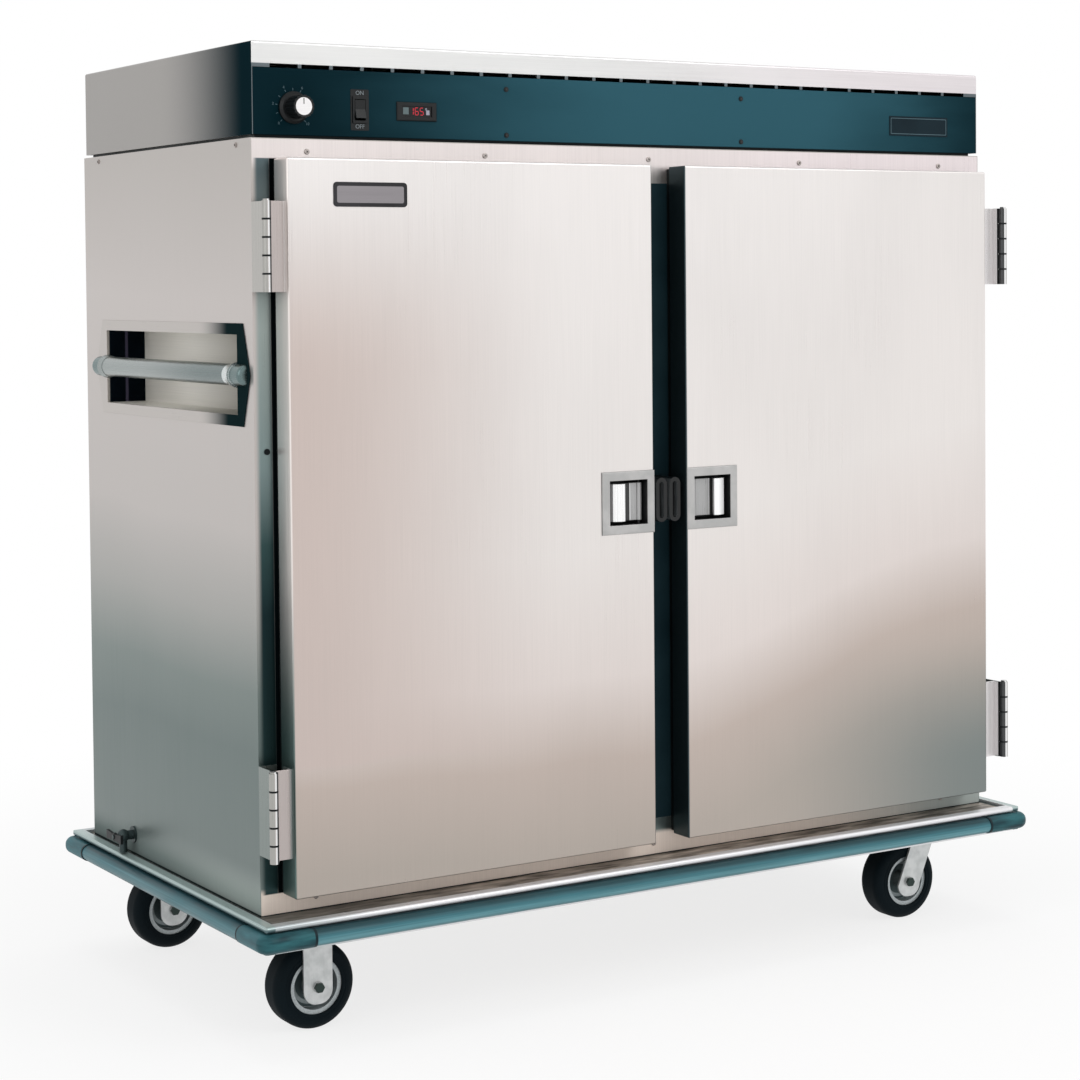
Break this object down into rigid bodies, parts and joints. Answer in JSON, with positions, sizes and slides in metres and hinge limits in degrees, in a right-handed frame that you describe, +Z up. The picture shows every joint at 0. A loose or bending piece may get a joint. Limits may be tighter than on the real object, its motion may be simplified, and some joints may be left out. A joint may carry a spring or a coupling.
{
  "type": "heated banquet cart",
  "caption": "Insulated heated banquet cart: double-door cabinet with shelves, control hood on top, recessed side handles, wrap-round bumper and casters.",
  "frame": {"origin": "on the floor, under the middle of the bumper", "axes": "+X to the right along the front, +Y to the back, +Z up; the doors face -Y"},
  "size_m": [1.549, 0.832, 1.55],
  "materials": {
    "stainless": "satin brushed sheet",
    "frame_steel": "satin sheet",
    "liner_steel": "satin sheet",
    "black_trim": "satin black",
    "teal_panel": "satin dark teal",
    "insulation": "matte fibre",
    "base_steel": "satin sheet",
    "bumper_metal": "extruded",
    "bumper_vinyl": "semi-gloss vinyl",
    "handle_steel": "polished tube",
    "wire": "plated wire",
    "hinge_steel": "satin",
    "seal_rubber": "matte",
    "latch_metal": "satin grey",
    "latch_chrome": "satin plated",
    "black_plastic": "moulded",
    "heater_metal": "galvanised",
    "motor_metal": "enamelled",
    "drain_brass": "dulled",
    "zinc": "zinc plated",
    "fastener_steel": "plated",
    "tyre": "matte",
    "wheel_hub": "cast"
  },
  "bodies": {
    "cabinet": {"outer_casing": "stainless", "inner_liner": "liner_steel", "cabinet_insulation": "insulation", "front_frame": "frame_steel", "center_mullion": "black_trim", "base_chassis": "base_steel", "hood_base": "frame_steel", "hood_shell": "stainless", "control_panel": "teal_panel", "thermostat": "black_plastic", "switch_housing": "black_plastic", "thermometer": "black_plastic", "heating_elements": "heater_metal", "blower_motor": "motor_metal", "blower_housing": "heater_metal", "power_inlet": "black_plastic", "bumper_channels": "bumper_metal", "bumper_strips": "bumper_vinyl", "bumper_corners": "bumper_vinyl", "handle_pockets": "frame_steel", "handle_bars": "handle_steel", "shelf_uprights": "liner_steel", "shelves": "wire", "frame_hinge_leaves": "hinge_steel", "latch_strikes": "black_trim", "drain_valve": "drain_brass", "cabinet_screws": "fastener_steel", "rigid_caster_forks": "zinc", "swivel_caster_plates": "zinc", "caster_bolts": "fastener_steel"},
    "left_door": {"left_door_skin": "stainless", "left_door_core": "insulation", "left_door_liner": "liner_steel", "left_door_gasket": "seal_rubber", "left_door_hinge_leaves": "hinge_steel", "left_latch_housing": "latch_metal"},
    "left_paddle": {"left_latch_paddle": "latch_chrome"},
    "left_bolt": {"left_latch_bolt": "latch_metal"},
    "right_door": {"right_door_skin": "stainless", "right_door_core": "insulation", "right_door_liner": "liner_steel", "right_door_gasket": "seal_rubber", "right_door_hinge_leaves": "hinge_steel", "right_latch_housing": "latch_metal"},
    "right_paddle": {"right_latch_paddle": "latch_chrome"},
    "right_bolt": {"right_latch_bolt": "latch_metal"},
    "knob": {"thermostat_knob": "black_plastic"},
    "rocker": {"power_rocker": "black_plastic"},
    "front_swivel": {"front_swivel_fork": "zinc"},
    "rear_swivel": {"rear_swivel_fork": "zinc"},
    "front_left_wheel": {"front_left_tyre": "tyre", "front_left_hub": "wheel_hub"},
    "front_right_wheel": {"front_right_tyre": "tyre", "front_right_hub": "wheel_hub"},
    "rear_left_wheel": {"rear_left_tyre": "tyre", "rear_left_hub": "wheel_hub"},
    "rear_right_wheel": {"rear_right_tyre": "tyre", "rear_right_hub": "wheel_hub"},
    "blower": {"blower_wheel": "motor_metal"},
    "drain_wing": {"drain_handle": "black_plastic"}
  },
  "joints": [
    {"name": "left_door_swing", "type": "hinge", "parent": "cabinet", "child": "left_door", "pos_m": [-0.737, -0.3865, 0.8015], "axis": [0, 0, -1], "range_deg": [0, 260]},
    {"name": "left_paddle_pull", "type": "hinge", "parent": "left_door", "child": "left_paddle", "pos_m": [-0.0555, -0.368, 0.812], "axis": [0, 0, 1], "range_deg": [0, 25], "stiffness_Nm_per_rad": 0.6},
    {"name": "left_bolt_slide", "type": "slide", "parent": "left_door", "child": "left_bolt", "axis": [-1, 0, 0], "range_m": [0, 0.0073]},
    {"name": "right_door_swing", "type": "hinge", "parent": "cabinet", "child": "right_door", "pos_m": [0.737, -0.3865, 0.8015], "axis": [0, 0, 1], "range_deg": [0, 260]},
    {"name": "right_paddle_pull", "type": "hinge", "parent": "right_door", "child": "right_paddle", "pos_m": [0.0555, -0.368, 0.812], "axis": [0, 0, -1], "range_deg": [0, 25], "stiffness_Nm_per_rad": 0.6},
    {"name": "right_bolt_slide", "type": "slide", "parent": "right_door", "child": "right_bolt", "axis": [1, 0, 0], "range_m": [0, 0.0073]},
    {"name": "knob_turn", "type": "hinge", "parent": "cabinet", "child": "knob", "pos_m": [-0.66, -0.343, 1.449], "axis": [0, 1, 0], "range_deg": [0, 270]},
    {"name": "rocker_tip", "type": "hinge", "parent": "cabinet", "child": "rocker", "pos_m": [-0.545, -0.32, 1.449], "axis": [1, 0, 0], "range_deg": [0, 16]},
    {"name": "front_swivel_turn", "type": "hinge", "parent": "cabinet", "child": "front_swivel", "pos_m": [0.622, -0.264, 0.15], "axis": [0, 0, 1], "continuous": true},
    {"name": "front_left_roll", "type": "hinge", "parent": "cabinet", "child": "front_left_wheel", "pos_m": [-0.622, -0.264, 0.07], "axis": [0, 1, 0], "continuous": true},
    {"name": "front_right_roll", "type": "hinge", "parent": "front_swivel", "child": "front_right_wheel", "pos_m": [0.585, -0.264, 0.07], "axis": [0, 1, 0], "continuous": true},
    {"name": "rear_swivel_turn", "type": "hinge", "parent": "cabinet", "child": "rear_swivel", "pos_m": [0.622, 0.306, 0.15], "axis": [0, 0, 1], "continuous": true},
    {"name": "rear_left_roll", "type": "hinge", "parent": "cabinet", "child": "rear_left_wheel", "pos_m": [-0.622, 0.306, 0.07], "axis": [0, 1, 0], "continuous": true},
    {"name": "rear_right_roll", "type": "hinge", "parent": "rear_swivel", "child": "rear_right_wheel", "pos_m": [0.585, 0.306, 0.07], "axis": [0, 1, 0], "continuous": true},
    {"name": "blower_spin", "type": "hinge", "parent": "cabinet", "child": "blower", "pos_m": [0.15, 0.021, 1.43], "axis": [0, 0, 1], "continuous": true},
    {"name": "drain_turn", "type": "hinge", "parent": "cabinet", "child": "drain_wing", "pos_m": [-0.7675, 0.182, 0.237], "axis": [1, 0, 0], "range_deg": [0, 90]}
  ],
  "couplings": [
    {"joint": "left_bolt_slide", "follows": "left_paddle_pull", "m_per_rad": 0.0165},
    {"joint": "right_bolt_slide", "follows": "right_paddle_pull", "m_per_rad": 0.0165}
  ]
}
